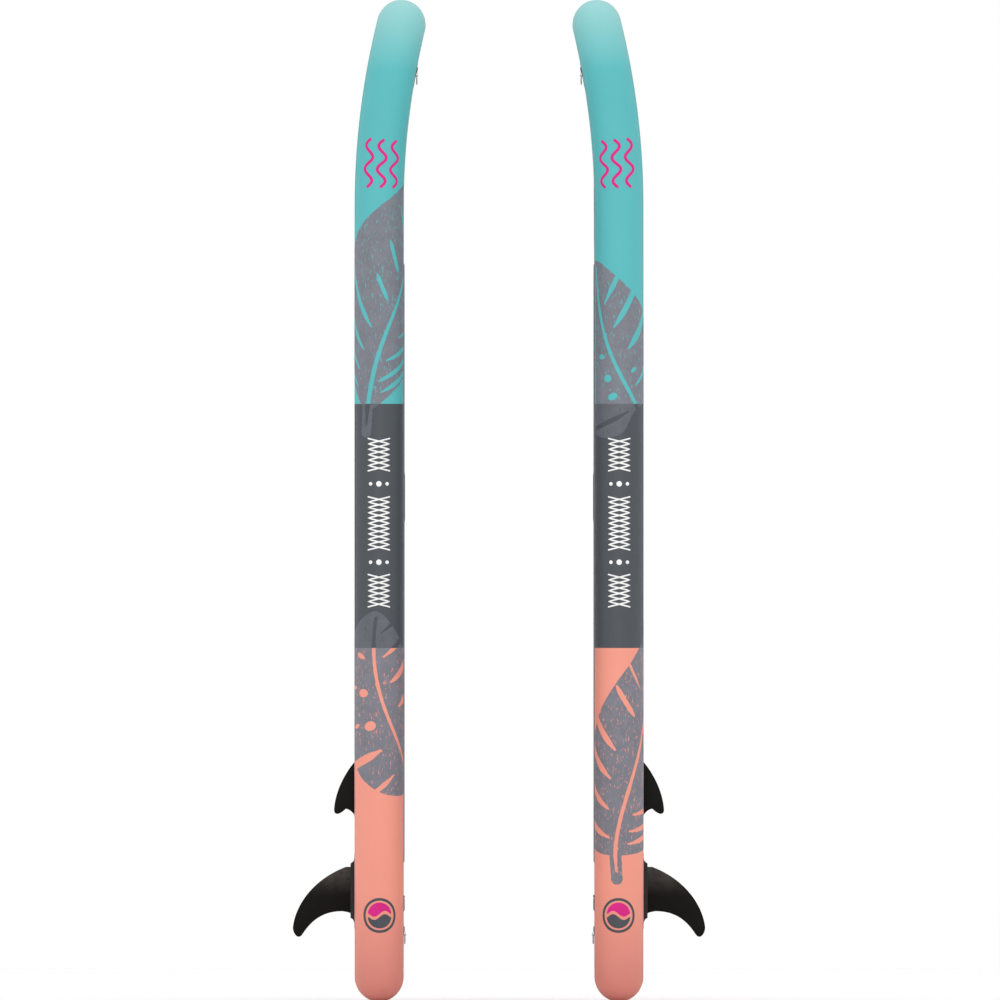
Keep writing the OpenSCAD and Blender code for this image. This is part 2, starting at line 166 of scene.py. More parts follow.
def smooth(points, steps=6):
    """A closed curve through the points."""
    p = np.asarray(points, float)
    before, after, far = np.roll(p, 1, 0), np.roll(p, -1, 0), np.roll(p, -2, 0)
    t = np.linspace(0, 1, steps, endpoint=False)[None, :, None]
    a, b, c, d = (q[:, None] for q in (before, p, after, far))
    curve = 0.5 * (2 * b + (c - a) * t + (2 * a - 5 * b + 4 * c - d) * t ** 2
                   + (3 * b - a - 3 * c + d) * t ** 3)
    return curve.reshape(-1, 2)


def circle(middle, radius, count):
    t = np.linspace(0, 2 * math.pi, count, endpoint=False)
    return np.asarray(middle) + radius * np.stack([np.cos(t), np.sin(t)], 1)


def rounded(middle, width, length, corner):
    """A rectangle with rounded corners."""
    t = np.linspace(0, math.pi / 2, 8)
    quarter = np.stack([np.cos(t), np.sin(t)], 1)
    loops = []
    for turn, (sy, sz) in enumerate(((1, 1), (-1, 1), (-1, -1), (1, -1))):
        c, s = round(math.cos(turn * math.pi / 2)), round(math.sin(turn * math.pi / 2))
        arc = quarter @ np.array([[c, s], [-s, c]])
        loops.append(arc * corner + (sy * (width / 2 - corner), sz * (length / 2 - corner)))
    return np.vstack(loops) + middle


def stroke(points, widths, rough=0.0):
    """The outline of a brush stroke along the points, with round ends."""
    p = np.asarray(points, float)
    w = np.broadcast_to(np.asarray(widths, float), len(p)) / 2
    way = np.gradient(p, axis=0)
    way /= np.linalg.norm(way, axis=1)[:, None]
    aside = np.stack([-way[:, 1], way[:, 0]], 1)
    w = w + rough * rng.uniform(-1, 1, len(p))
    turns = np.linspace(math.pi / 2, -math.pi / 2, 7)[1:-1]
    end = [p[-1] + w[-1] * (math.cos(t) * way[-1] + math.sin(t) * aside[-1]) for t in turns]
    start = [p[0] - w[0] * (math.cos(t) * way[0] + math.sin(t) * aside[0]) for t in turns]
    return np.vstack([p + aside * w[:, None], end, (p - aside * w[:, None])[::-1], start])


def within(points, loop):
    """Which of the points lie inside the closed loop."""
    x, y = points[:, 0], points[:, 1]
    inside = np.zeros(len(points), bool)
    for (x1, y1), (x2, y2) in zip(loop, np.roll(loop, -1, 0)):
        if y1 != y2:
            crosses = (y1 > y) != (y2 > y)
            inside ^= crosses & (x < (x2 - x1) * (y - y1) / (y2 - y1) + x1)
    return inside


def triangulate(solid, holes, clip, step, lines=()):
    """Triangles of the drawing: inside any solid loop, in no hole and in the clip loop. The step is
    the spacing of the points put inside it, and 0 puts none. Lines become edges of triangles."""
    def inside(points):
        kept = np.any([within(points, loop) for loop in solid], axis=0)
        for loop in holes:
            kept &= ~within(points, loop)
        return kept & within(points, clip)
    points = np.zeros((0, 2))
    edges = []
    for loop in [*solid, *holes, clip]:
        count = len(points)
        edges += [(count + i, count + (i + 1) % len(loop)) for i in range(len(loop))]
        points = np.vstack([points, loop])
    for line in lines:
        edges += [(len(points) + i, len(points) + i + 1) for i in range(len(line) - 1)]
        points = np.vstack([points, line])
    if step:
        every = np.vstack(solid)
        low = np.maximum(every.min(0), clip.min(0))
        high = np.minimum(every.max(0), clip.max(0))
        grid = np.stack(np.meshgrid(*(np.arange(a + step / 2, b, step) for a, b in zip(low, high))), -1)
        grid = grid.reshape(-1, 2)
        points = np.vstack([points, grid[inside(grid)]])
    corners, _, faces, *_ = delaunay_2d_cdt([Vector(p) for p in points], edges, [], 0, 1e-4)
    corners = np.array([c[:] for c in corners])
    faces = np.array(faces)
    faces = faces[inside(corners[faces].mean(1))]
    used, faces = np.unique(faces, return_inverse=True)
    return corners[used], faces.reshape(-1, 3)


# ---- Solids
def layer(drawing, mapper, low, high):
    """A closed layer over a mapped surface, between two heights above it."""
    points, faces = drawing
    count = len(points)
    pairs = {(a, b) for f in faces.tolist() for a, b in zip(f, f[1:] + f[:1])}
    rim = [[b, a, a + count, b + count] for a, b in pairs if (b, a) not in pairs]
    corners = np.vstack([mapper(points, high), mapper(points, low)])
    return corners, faces.tolist() + (faces[:, ::-1] + count).tolist() + rim


def loft(rings, closed=False):
    """A closed solid through rings of points. A closed loft joins its last ring to its first."""
    rings = np.asarray(rings)
    count, size = rings.shape[:2]
    index = np.arange(count * size).reshape(count, size)
    faces = []
    for j in range(count if closed else count - 1):
        a, b = index[j], index[(j + 1) % count]
        faces += np.stack([a, np.roll(a, -1), np.roll(b, -1), b], 1).tolist()
    if not closed:
        faces += [index[0][::-1].tolist(), index[-1].tolist()]
    return rings.reshape(-1, 3), faces


def joined(*solids):
    """Several solids as one mesh."""
    points, faces = [], []
    count = 0
    for corners, loops in solids:
        points.append(corners)
        faces += [[i + count for i in loop] for loop in loops]
        count += len(corners)
    return np.vstack(points), faces


def block_faces(mesh):
    """Cuts a mesh at the borders of the colour blocks and gives each block its material."""
    bm = bmesh.new()
    bm.from_mesh(mesh)
    for border in (TEAL_FROM, CORAL_TO):
        parts = bm.verts[:] + bm.edges[:] + bm.faces[:]
        bmesh.ops.bisect_plane(bm, geom=parts, dist=1e-7, plane_co=(0, 0, border * MM),
                               plane_no=(0, 0, 1))
    for face in bm.faces:
        z = face.calc_center_median().z / MM
        face.material_index = 0 if z > TEAL_FROM else 1 if z > CORAL_TO else 2
    bm.to_mesh(mesh)
    bm.free()


def make(name, solid, materials, nodes=(), body="board", sharp=32):
    """Puts a solid on both boards. Three materials are the colour blocks from nose to tail."""
    pieces = []
    for board in BOARDS:
        points = np.asarray(solid[0], float) * MM
        points = points + (-CENTRE * MM, 0, 0) if board == "left" else \
            points * (-1, -1, 1) + (CENTRE * MM, 0, 0)
        mesh = bpy.data.meshes.new(f"{board}_{name}")
        mesh.from_pydata(points.tolist(), [], solid[1])
        for material in materials:
            mesh.materials.append(material)
        bm = bmesh.new()
        bm.from_mesh(mesh)
        bmesh.ops.recalc_face_normals(bm, faces=bm.faces)
        bm.to_mesh(mesh)
        bm.free()
        if len(materials) == 3:
            block_faces(mesh)
        mesh.shade_smooth()
        mesh.set_sharp_from_angle(angle=math.radians(sharp))
        piece = bpy.data.objects.new(f"{board}_{name}", mesh)
        bpy.context.scene.collection.objects.link(piece)
        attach(piece, f"{board}_{body}")
        if nodes:
            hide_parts(*(f"{board}_{node}" for node in nodes))
        pieces.append(piece)
    return pieces


# ---- Materials
def srgb(*values):
    """A colour given by its 0 to 255 values on the screen, as linear light."""
    return tuple(c / 12.92 if c <= 0.04045 else ((c + 0.055) / 1.055) ** 2.4
                 for c in (v / 255 for v in values)) + (1,)


class Nodes:
    """A material under construction."""

    def __init__(self, name, roughness, specular=0.3, metallic=0.0):
        self.material = bpy.data.materials.new(name)
        self.material.use_nodes = True
        self.tree = self.material.node_tree
        self.shader = self.tree.nodes["Principled BSDF"]
        self.shader.inputs["Roughness"].default_value = roughness
        self.shader.inputs["Specular IOR Level"].default_value = specular
        self.shader.inputs["Metallic"].default_value = metallic
        self.place = self.add("ShaderNodeTexCoord").outputs["Object"]

    def add(self, kind, **settings):
        node = self.tree.nodes.new(kind)
        for key, value in settings.items():
            setattr(node, key, value)
        return node

    def put(self, value, socket):
        if isinstance(value, bpy.types.NodeSocket):
            self.tree.links.new(value, socket)
        else:
            socket.default_value = value

    def noise(self, scale, detail=3.0, rough=0.6, stretch=(1, 1, 1)):
        """Noise with so many cells to the metre. A stretch under 1 draws it out along that axis."""
        mapping = self.add("ShaderNodeMapping")
        mapping.inputs["Scale"].default_value = stretch
        self.put(self.place, mapping.inputs["Vector"])
        node = self.add("ShaderNodeTexNoise")
        self.put(mapping.outputs["Vector"], node.inputs["Vector"])
        node.inputs["Scale"].default_value = scale
        node.inputs["Detail"].default_value = detail
        node.inputs["Roughness"].default_value = rough
        return node.outputs["Fac"]

    def bands(self, pitch, direction):
        """Smooth waves with the pitch in millimetres."""
        node = self.add("ShaderNodeTexWave", bands_direction=direction)
        self.put(self.place, node.inputs["Vector"])
        node.inputs["Scale"].default_value = 2 * math.pi / 20 / (pitch * MM)
        return node.outputs["Fac"]

    def remap(self, value, low, high, to_low=0.0, to_high=1.0, kind="SMOOTHSTEP"):
        node = self.add("ShaderNodeMapRange", interpolation_type=kind)
        for key, number in zip(("Value", "From Min", "From Max", "To Min", "To Max"),
                               (value, low, high, to_low, to_high)):
            self.put(number, node.inputs[key])
        return node.outputs["Result"]

    def axis(self, name):
        node = self.add("ShaderNodeSeparateXYZ")
        self.put(self.place, node.inputs["Vector"])
        return node.outputs[name]

    def mix(self, factor, first, second):
        """From the first colour to the second as the factor goes from 0 to 1."""
        node = self.add("ShaderNodeMix", data_type="RGBA", blend_type="MIX")
        self.put(factor, node.inputs["Factor"])
        self.put(first, node.inputs[6])
        self.put(second, node.inputs[7])
        return node.outputs[2]

    def math(self, kind, first, second):
        node = self.add("ShaderNodeMath", operation=kind)
        self.put(first, node.inputs[0])
        self.put(second, node.inputs[1])
        return node.outputs[0]

    def colour(self, value):
        self.put(value, self.shader.inputs["Base Color"])
        return self

    def rough(self, value, low, high):
        """Roughness between two values, as a noise goes from its low to its high places."""
        self.put(self.remap(value, 0.3, 0.7, low, high, "LINEAR"), self.shader.inputs["Roughness"])
        return self

    def bump(self, height, strength, depth):
        """Relief from a height, with its depth in millimetres."""
        node = self.add("ShaderNodeBump")
        node.inputs["Strength"].default_value = strength
        node.inputs["Distance"].default_value = depth * MM
        self.put(height, node.inputs["Height"])
        before = self.shader.inputs["Normal"]
        if before.is_linked:
            self.put(before.links[0].from_socket, node.inputs["Normal"])
        self.put(node.outputs["Normal"], before)
        return self


def shade(colour, factor):
    return tuple(c * factor for c in colour[:3]) + (1,)


NOSE_PAINTED_HIGHLIGHT = srgb(190, 226, 222)           # painted highlight at the nose and painted shade at the tail, blended in
TAIL_PAINTED_SHADE = srgb(196, 120, 112)
NOSE_HIGHLIGHT_HEIGHTS = (2.88, 3.13)                  # between these heights, in metres
TAIL_SHADE_HEIGHTS = (0.34, 0.0)


def coated(name, colour, end=None):
    """Printed, coated fabric: a faint weave under a satin skin, with soft mottling."""
    m = Nodes(name, 0.48, 0.22)
    paint = m.mix(m.remap(m.noise(5, 2), 0.35, 0.7, 0.0, 0.35), colour, shade(colour, 0.93))
    paint = m.mix(m.remap(m.noise(420, 4, 0.7), 0.45, 0.75, 0.0, 0.3), paint, shade(colour, 0.86))
    # Painted highlight of the top light on the upturned nose, and painted shade where the tail curves
    # under
    if end == "nose":
        paint = m.mix(m.remap(m.axis("Z"), *NOSE_HIGHLIGHT_HEIGHTS, 0.0, 0.5, "LINEAR"), paint, NOSE_PAINTED_HIGHLIGHT)
    if end == "tail":
        paint = m.mix(m.remap(m.axis("Z"), *TAIL_SHADE_HEIGHTS, 0.0, 0.8, "LINEAR"), paint, TAIL_PAINTED_SHADE)
    m.colour(paint)
    m.rough(m.noise(60, 3), 0.42, 0.55)
    weave = m.math("MULTIPLY", m.bands(1.3, "Z"), m.bands(1.3, "DIAGONAL"))
    m.bump(weave, 0.12, 0.15)
    m.bump(m.noise(14, 2), 0.12, 1.2)
    return m.material


def printed(name, ink, ground, specks=0.59):
    """Screen-printed ink with dry brush marks that let the ground through."""
    m = Nodes(name, 0.5, 0.2)
    dry = m.remap(m.noise(190, 5, 0.75, (1, 1, 0.3)), specks, specks + 0.03, 0.0, 0.9, "LINEAR")
    paint = m.mix(m.remap(m.noise(24, 4), 0.35, 0.65), ink, shade(ink, 0.9))
    m.colour(m.mix(dry, paint, ground))
    m.rough(m.noise(200, 3), 0.45, 0.58)
    m.bump(m.noise(500, 3), 0.08, 0.1)
    return m.material


LIT = 0.86                                # makes up for what the lights add to the printed colours
TEAL = shade(srgb(92, 188, 191), LIT)
SLATE = shade(srgb(79, 84, 90), LIT)
CORAL = shade(srgb(247, 159, 140), LIT)
LEAF = shade(srgb(129, 130, 140), LIT)
LEAF_DIM = shade(srgb(104, 107, 115), LIT)
MAGENTA = shade(srgb(224, 38, 138), LIT)
WHITE = (0.86, 0.86, 0.85, 1)
BLOCKS = [coated("teal_fabric", TEAL, "nose"), coated("slate_fabric", SLATE),
          coated("coral_fabric", CORAL, "tail")]
LEAVES = [printed("leaf_on_teal", LEAF, TEAL), printed("leaf_on_slate", LEAF_DIM, SLATE),
          printed("leaf_on_coral", LEAF, CORAL)]
INK_WHITE = printed("white_ink", WHITE, SLATE, 0.7)
INK_MAGENTA = printed("magenta_ink", MAGENTA, TEAL, 0.75)
INK_DARK = printed("dark_ink", SLATE, CORAL, 0.75)


def foam_material():
    """Brushed closed-cell foam."""
    m = Nodes("deck_foam", 0.85, 0.12)
    base = srgb(126, 130, 136)
    paint = m.mix(m.remap(m.noise(700, 4, 0.75), 0.4, 0.6), shade(base, 0.8), base)
    m.colour(m.mix(m.remap(m.noise(6, 3), 0.4, 0.7, 0.0, 0.3), paint, shade(base, 0.75)))
    m.bump(m.noise(900, 4, 0.7), 0.35, 0.25)
    return m.material


def webbing_material():
    """Woven strap."""
    m = Nodes("webbing", 0.72, 0.2)
    rib = m.math("MULTIPLY", m.bands(1.6, "Z"), m.bands(2.2, "Y"))
    base = srgb(44, 45, 48)
    # Darker in the hollows of the weave, where the relief is low: painted shade
    m.colour(m.mix(rib, shade(base, 0.55), base))
    m.bump(rib, 0.7, 0.35)
    m.bump(m.noise(1500, 2), 0.2, 0.1)
    return m.material


def plastic(name, colour, roughness, grain=0.12, specular=0.4):
    """Moulded plastic with a fine grain."""
    m = Nodes(name, roughness, specular)
    m.colour(m.mix(m.remap(m.noise(40, 3), 0.35, 0.7), colour, shade(colour, 0.82)))
    m.rough(m.noise(250, 3), roughness - 0.06, roughness + 0.1)
    m.bump(m.noise(1800, 2), grain, 0.08)
    return m.material


def metal(name, colour, roughness):
    """Polished metal with fine drawn scratches."""
    m = Nodes(name, roughness, 0.5, 1.0)
    m.colour(m.mix(m.remap(m.noise(90, 4), 0.3, 0.7), colour, shade(colour, 0.92)))
    scratches = m.noise(600, 3, 0.6, (1, 0.08, 1))
    m.rough(scratches, roughness - 0.08, roughness + 0.15)
    m.bump(scratches, 0.08, 0.05)
    return m.material


def fin_material(name, *top_colour_and_highlight):
    """Glass-filled nylon, going from near black to a painted highlight up the centre fin's root. The
    side fins sit wholly above that ramp, so their second colour is just their own near-black.
    """
    m = Nodes(name, 0.42, 0.08)
    dark = srgb(9, 8, 6)
    low, high = 0.32, 0.42               # heights in metres of the ramp into the painted highlight
    paint = m.mix(m.remap(m.axis("Z"), low, high), dark, srgb(*top_colour_and_highlight))
    m.colour(m.mix(m.remap(m.noise(30, 4), 0.4, 0.7, 0.0, 0.5), paint, dark))
    m.rough(m.noise(180, 3), 0.32, 0.46)
    m.bump(m.noise(1400, 2), 0.1, 0.06)
    return m.material


FOAM = foam_material()
WEBBING = webbing_material()
STITCH = plastic("stitching", srgb(150, 152, 156), 0.7)
PATCH = coated("patch_fabric", srgb(58, 61, 66))
BLACK = plastic("black_plastic", srgb(27, 27, 28), 0.5)
CAP = plastic("cap_plastic", srgb(62, 65, 70), 0.45)
PALE_PLASTIC = plastic("plunger_plastic", srgb(214, 214, 208), 0.4)
RUBBER = plastic("seal_rubber", srgb(26, 26, 27), 0.75, 0.2, 0.2)
STEEL = metal("stainless_steel", (0.62, 0.62, 0.63, 1), 0.2)
BRASS = metal("brass", (0.7, 0.52, 0.26, 1), 0.3)
THREADS = plastic("polyester_thread", srgb(226, 226, 220), 0.8)
# The centre fin's second colour is a painted highlight; the side fins' is their own near-black
FIN = fin_material("fin_plastic", 74, 72, 68)
SIDE_FIN = fin_material("side_fin_plastic", 12, 11, 9)


# ---- The inflated hull
SKIN_STEP = 38                            # spacing of the points on the flat skins
GLUE = 0.02                               # gap under the tapes


def hull():
    turns = np.linspace(-math.pi / 2, math.pi / 2, 37)
    for side, name in ((-1, "port"), (1, "starboard")):
        rings = [np.vstack([rail_ring(i, side, turns, R), rail_ring(i, side, turns[::-1], R - FABRIC)])
                 for i in range(len(EDGE))]
        make(f"{name}_side_wall", loft(rings), BLOCKS, [f"{name}_rail"])
    ring = np.vstack([EDGE[8:-2], EDGE[8:-2][::-1] * (-1, 1)])
    deck = triangulate([ring], [circle(VALVE, VALVE_HOLE, 48)], ring, SKIN_STEP)
    bottom = triangulate([ring], [], ring, SKIN_STEP)
    make("deck_fabric_skin", layer(deck, on_deck, -FABRIC, 0), BLOCKS, ["deck_skin"])
    make("bottom_fabric_skin", layer(bottom, on_bottom, -FABRIC, 0), BLOCKS,
         ["bottom_skin"])
    edge = tape_edge()
    for face, name in ((1, "deck"), (-1, "bottom")):
        turns = face * np.linspace(math.pi / 2, math.pi / 2 - TAPE_TURN, 4)
        stations = [(i, -1) for i in range(len(EDGE) - 1, 0, -1)] + \
                   [(i, 1) for i in range(len(EDGE) - 1)]
        rings = []
        for i, side in stations:
            inner = (side * max(edge[i, 0], 0.3 * (EDGE[i, 0] > 0)), edge[i, 1])
            flat = [bend((face * (R + t), *inner)) for t in (GLUE, TAPE - 0.25, TAPE)]
            rings.append(np.vstack([flat[0], rail_ring(i, side, turns, R + GLUE),
                                    rail_ring(i, side, turns[::-1], R + TAPE), flat[2], flat[1]]))
        make(f"{name}_tape", loft(rings, closed=True), BLOCKS, [f"{name}_seam_tape"])
    turns = np.linspace(TAPE_TURN - math.pi / 2, math.pi / 2 - TAPE_TURN, 29)
    for name, ends in (("tail", [(1, -1), (0, 1), (1, 1)]),
                       ("nose", [(i, -1) for i in range(-8, 0)] + [(i, 1) for i in range(-2, -9, -1)])):
        rings = [np.vstack([rail_ring(i, side, turns, R + 0.03),
                            rail_ring(i, side, turns[::-1], R + TAPE * 0.8)]) for i, side in ends]
        make(f"{name}_joint_strip", loft(rings), BLOCKS)


# ---- Prints on the rails
INK_FROM, INK_TO = 0.03, 0.3                        # height of the layer of ink above the fabric
PRINT_STEP = 6.5                                    # spacing of its points
TAPE_STEP = (0.4, 1.2)                              # it climbs onto a tape between these distances
TAPE_FROM = R * (math.pi / 2 - TAPE_TURN)           # a tape's edges, unrolled from the rail's middle
TAPE_TO = QUARTER + TAPE_IN
PAD_SIDE = QUARTER + 31                             # the prints stop at the deck pad
PAD_END = pad_high.z + 4
FAR = QUARTER + 330                                 # and otherwise go on over deck and bottom
LOWEST, HIGHEST = 20, 2980
CLIP = np.array([(-FAR, LOWEST), (PAD_SIDE, LOWEST), (PAD_SIDE, PAD_END), (FAR, PAD_END),
                 (FAR, HIGHEST), (-FAR, HIGHEST)])
# Half outlines of leaves, from the base to the tip, as (share of the width, share of the length)
SLIM = [(0.06, 0.0), (0.20, 0.09), (0.42, 0.25), (0.70, 0.42), (0.91, 0.58), (0.92, 0.74),
        (0.70, 0.88), (0.36, 0.97)]
BROAD = [(0.15, 0.0), (0.50, 0.05), (0.82, 0.16), (1.0, 0.36), (1.0, 0.56), (0.84, 0.73),
         (0.54, 0.88), (0.22, 0.97)]
HEART = [(0.12, -0.02), (0.50, -0.12), (0.86, -0.02), (1.0, 0.20), (1.0, 0.45), (0.86, 0.68),
         (0.56, 0.86), (0.24, 0.97)]


THROUGH = 300                                       # the far end of a slit that opens at the edge
OVAL = 45                                           # shorter slits are ovals


def leaf(rib, half, width, slits, turn=(55, 50), stalk=0.0, rib_width=(16, 9)):
    """A broad slit leaf. rib runs from its base to its tip, and half is one side's outline, across
    and along it. Slits are (side, place along the rib, inner and outer distance from it, width), and
    lean from the rib by an angle that goes from turn[0] at the base to turn[1] at the tip."""
    def ahead(u):
        way = bezier(rib, np.atleast_1d(u) + 0.01) - bezier(rib, np.atleast_1d(u) - 0.01)
        return way / np.linalg.norm(way, axis=1)[:, None]

    def spot(v, u):
        way = ahead(u)
        return bezier(rib, u) + np.atleast_1d(v)[:, None] * np.stack([way[:, 1], -way[:, 0]], 1)
    half = np.array(half)
    edge = smooth(np.vstack([half, [(0, 1)], half[::-1] * (-1, 1)]), 12)
    edge = spot(edge[:, 0] * width, edge[:, 1])
    solid = [edge + rng.normal(0, 0.5, edge.shape)]
    cuts = [stroke(spot(np.zeros(48), np.linspace(-0.02, 0.97, 48)),
                   np.linspace(*rib_width, 48), 0.6)]
    t = np.linspace(0, 1, 16)
    for side, at, inner, outer, size in slits:
        lean = math.radians(turn[0] + (turn[1] - turn[0]) * at)
        way = ahead(at)[0]
        aside = side * np.array([way[1], -way[0]])
        straight = math.cos(lean) * way + math.sin(lean) * aside
        if outer - inner < OVAL:
            middle = bezier(rib, at)[0] + (inner + outer) / 2 * straight
            around = np.linspace(0, 2 * math.pi, 28, endpoint=False)[:, None]
            cuts.append(middle + np.cos(around) * (outer - inner + 8) / 2 * straight
                        + np.sin(around) * size / 2 * np.array([-straight[1], straight[0]]))
            continue
        reach = inner + (outer - inner) * t[:, None]
        path = bezier(rib, at) + reach * straight + way * (reach - inner) ** 2 / 900
        ends = np.minimum(1, 4 * t + 0.3)
        if outer < 180:
            ends = np.minimum(ends, 4 * (1 - t) + 0.3)
        cuts.append(stroke(path, size * ends, 0.5))
    if stalk:
        down = bezier(rib, 0)[0]
        way = down + np.array((-5, -stalk)) * t[:, None]
        solid.append(stroke(np.vstack([bezier(rib, 0.04), way]), 36, 0.9))
        cuts.append(stroke(way[:11], np.linspace(rib_width[0], 7, 11), 0.5))
    return solid, cuts


PRINTED_LEAVES = {
    (-1, "port_upper"): leaf(
        [(-37, 1835), (-15, 1960), (-10, 2120), (330, 2560)], SLIM, 250,
        [(-1, u, 62, THROUGH, 15) for u in (0.07, 0.19, 0.31, 0.43)]
        + [(-1, 0.57, 44, 130, 13), (-1, 0.67, 52, 150, 14), (-1, 0.76, 60, 172, 9)]
        + [(1, u, inner, THROUGH, 14) for u, inner in ((0.08, 42), (0.18, 26), (0.31, 36), (0.43, 62))],
        stalk=72),
    (-1, "port_lower"): leaf(
        [(158, 672), (58, 800), (-52, 970), (-5, 1208)], BROAD, 176,
        [(-1, 0.20, 70, THROUGH, 15), (-1, 0.33, 66, THROUGH, 26), (-1, 0.45, 48, 78, 30),
         (-1, 0.47, 104, 128, 14), (-1, 0.60, 42, 70, 26), (-1, 0.62, 88, 108, 12),
         (-1, 0.76, 40, 68, 16), (1, 0.30, 40, 62, 12), (1, 0.48, 52, THROUGH, 26),
         (1, 0.62, 44, THROUGH, 22), (1, 0.76, 34, THROUGH, 16), (1, 0.88, 26, THROUGH, 11)],
        turn=(118, 42), rib_width=(11, 11)),
    (1, "starboard_upper"): leaf(
        [(-62, 1838), (0, 1940), (70, 2050), (95, 2290)], HEART, 188,
        [(-1, 0.16, 30, THROUGH, 14), (-1, 0.40, 64, THROUGH, 22), (-1, 0.58, 46, THROUGH, 18),
         (-1, 0.74, 36, THROUGH, 15), (1, 0.02, 34, THROUGH, 15), (1, 0.17, 42, 66, 22),
         (1, 0.30, 34, 52, 24), (1, 0.45, 30, 46, 16), (-1, 0.26, 40, 56, 13)],
        turn=(92, 28), rib_width=(13, 11)),
    (1, "starboard_lower"): leaf(
        [(12, 455), (10, 560), (-29, 695), (-290, 1300)], BROAD, 190,
        [(1, u, inner, THROUGH, 20) for u, inner in ((0.13, 26), (0.30, 48), (0.43, 74), (0.53, 92))]
        + [(-1, u, 40, THROUGH, 16) for u in (0.08, 0.19, 0.31)]
        + [(1, 0.66, 70, 175, 16), (1, 0.73, 78, THROUGH, 9)],
        turn=(76, 50), stalk=74, rib_width=(13, 11)),
}


def prints():
    for (side, name), drawing in PRINTED_LEAVES.items():
        print_on(side, f"{name}_leaf", LEAVES, drawing)
    for side, name in ((-1, "port"), (1, "starboard")):
        print_on(side, f"{name}_white_bands", [INK_WHITE], band_marks())
        print_on(side, f"{name}_magenta_waves", [INK_MAGENTA], wave_marks())
        for part, material, drawing in roundel():
            print_on(side, f"{name}_{part}", [material], drawing)


def print_on(side, name, inks, drawing):
    """Prints a drawing on a rail and over its edges, as a layer of ink just proud of the fabric and
    of the seam tapes. Only the leaves, with their three inks, reach the tapes."""
    lines = []
    if len(inks) == 3:
        steps = [TAPE_FROM - off for off in TAPE_STEP] + [TAPE_TO + off for off in TAPE_STEP]
        lines = [np.array([(flip * a, LOWEST), (flip * a, HIGHEST)]) for a in steps for flip in (-1, 1)]
    points, faces = triangulate(*drawing, CLIP, PRINT_STEP, lines)
    across = np.abs(points[:, 0])
    margin = sum(TAPE_STEP) / 2
    lift = np.where((across > TAPE_FROM - margin) & (across < TAPE_TO + margin), TAPE, 0)
    solid = layer((points, faces), on_side(side), INK_FROM + lift, INK_TO + lift)
    make(name, solid, inks, sharp=60)


def zigzag(top, low, count, reach, start):
    """A zigzag line down the rail, with so many turns."""
    z = np.linspace(top, low, count + 1)
    a = start * reach * (-1) ** np.arange(count + 1)
    fine = np.linspace(0, count, 8 * count + 1)
    return np.stack([np.interp(fine, np.arange(count + 1), a),
                     np.interp(fine, np.arange(count + 1), z)], 1)


def band_marks():
    """Three bands of crossing zigzags, with dots between them."""
    solid = []
    for top, low in ((1742, 1642), (1562, 1398), (1322, 1222)):
        count = 2 * round((top - low) / 33)
        solid += [stroke(zigzag(top, low, count, 34, start), 4.4) for start in (-1, 1)]
    for middle in (1602, 1360):
        solid += [circle((a, middle), 8.5 - abs(a) / 9, 20) for a in (-26, 0, 26)]
    return solid, []


def wave_marks():
    """Three upright waves."""
    low, high = 2520, 2664
    z = np.linspace(low, high, 72)
    return [stroke(np.stack([a + 13 * np.sin((z - low) / (high - low) * 4 * math.pi), z], 1), 9.4)
            for a in (-37, 5, 47)], []


def roundel():
    """A round badge: a dark ring round two halves that meet in a wave."""
    middle = np.array((2, 268))
    t = np.linspace(-1, 1, 25)
    wave = np.stack([34 * t, 9 * np.sin(math.pi * t)], 1)
    turns = np.linspace(0, math.pi, 30)[1:-1]
    arch = 38 * np.stack([np.cos(turns), np.sin(turns)], 1)
    upper = middle + np.vstack([wave + (0, 5), arch + (0, 2)])
    lower = middle + np.vstack([wave[::-1] - (0, 5), arch * (-1, -1) - (0, 2)])
    return [("badge_ring", INK_DARK, ([circle(middle, 54, 64)], [circle(middle, 46, 56)])),
            ("badge_top", INK_MAGENTA, ([upper], [])), ("badge_foot", INK_DARK, ([lower], []))]


# ---- Fins
def spaced(points, count):
    """Points at equal distances along a line."""
    p = np.asarray(points, float)
    run = np.concatenate([[0], np.cumsum(np.linalg.norm(np.diff(p, axis=0), axis=1))])
    at = np.linspace(0, run[-1], count)
    return np.stack([np.interp(at, run, p[:, k]) for k in (0, 1)], 1)


def foil(lead, trail, y, thickness, rows=44, across=16):
    """A fin between its leading and trailing edges, each drawn from root to tip as (depth, z)."""
    chord = (1 - np.cos(np.linspace(0, math.pi, across))) / 2
    # The usual four-digit foil section, as a share of the thickness
    bulge = 5 * (0.2969 * np.sqrt(chord) - 0.126 * chord - 0.3516 * chord ** 2
                 + 0.2843 * chord ** 3 - 0.1036 * chord ** 4)
    rings = []
    for k, (front, back) in enumerate(zip(spaced(lead, rows), spaced(trail, rows))):
        share = min(k / (rows - 1), 0.992)
        if k == rows - 1:
            middle = (front + back) / 2
            front, back = middle + (0.15, 0), middle - (0.15, 0)
        thin = thickness * (1 - 0.5 * share) * math.sqrt(1 - share ** 6)
        depth, z = (front + (back - front) * chord[:, None]).T
        faces = [np.stack([-R - depth, y + flip * thin * bulge, z], 1) for flip in (1, -1)]
        rings.append(np.vstack([faces[0], faces[1][-2:0:-1]]))
    return loft(rings)


